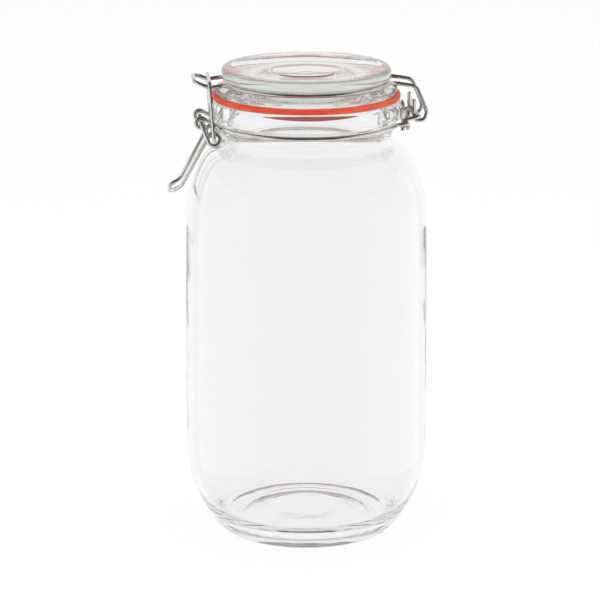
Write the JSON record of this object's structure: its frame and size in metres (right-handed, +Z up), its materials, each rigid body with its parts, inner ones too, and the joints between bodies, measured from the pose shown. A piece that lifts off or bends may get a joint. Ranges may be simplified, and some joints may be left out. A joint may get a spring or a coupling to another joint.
{
  "type": "lidded glass canister",
  "caption": "Clear round glass canister with a hinged glass lid on a rubber ring, held shut by a bent-wire bail with a coiled lever and a link.",
  "frame": {"origin": "centre of the standing ring, in the plane that the jar stands on", "axes": "+Z up along the jar's axis, the lid's hinge on +X, the clasp on -X, every hinge axis along Y"},
  "size_m": [0.1279, 0.12, 0.233],
  "materials": {
    "clear_glass": "clear pressed glass",
    "lid_glass": "clear pressed glass, thicker",
    "rubber": "smooth orange-red rubber",
    "steel_wire": "bright drawn wire"
  },
  "bodies": {
    "jar": {"glass_jar": "clear_glass", "neck_wire_front": "steel_wire", "neck_wire_rear": "steel_wire", "hinge_bracket": "steel_wire"},
    "lid": {"glass_lid": "lid_glass", "lid_wire": "steel_wire", "rubber_seal": "rubber"},
    "lever": {"lever": "steel_wire"},
    "link": {"link": "steel_wire"}
  },
  "joints": [
    {"name": "lid_hinge", "type": "hinge", "parent": "jar", "child": "lid", "pos_m": [0.0538, 0, 0.2094], "axis": [0, 1, 0], "range_deg": [0, 105]},
    {"name": "lever_pivot", "type": "hinge", "parent": "jar", "child": "lever", "pos_m": [-0.0516, 0, 0.2074], "axis": [0, 1, 0], "range_deg": [0, 100]},
    {"name": "link_swing", "type": "hinge", "parent": "lever", "child": "link", "pos_m": [-0.0455, 0, 0.1994], "axis": [0, 1, 0], "range_deg": [-110, 0]}
  ],
  "couplings": [
    {"joint": "lever_pivot", "follows": "lid_hinge", "ratio": 0.95},
    {"joint": "link_swing", "follows": "lid_hinge", "ratio": -1.045}
  ]
}
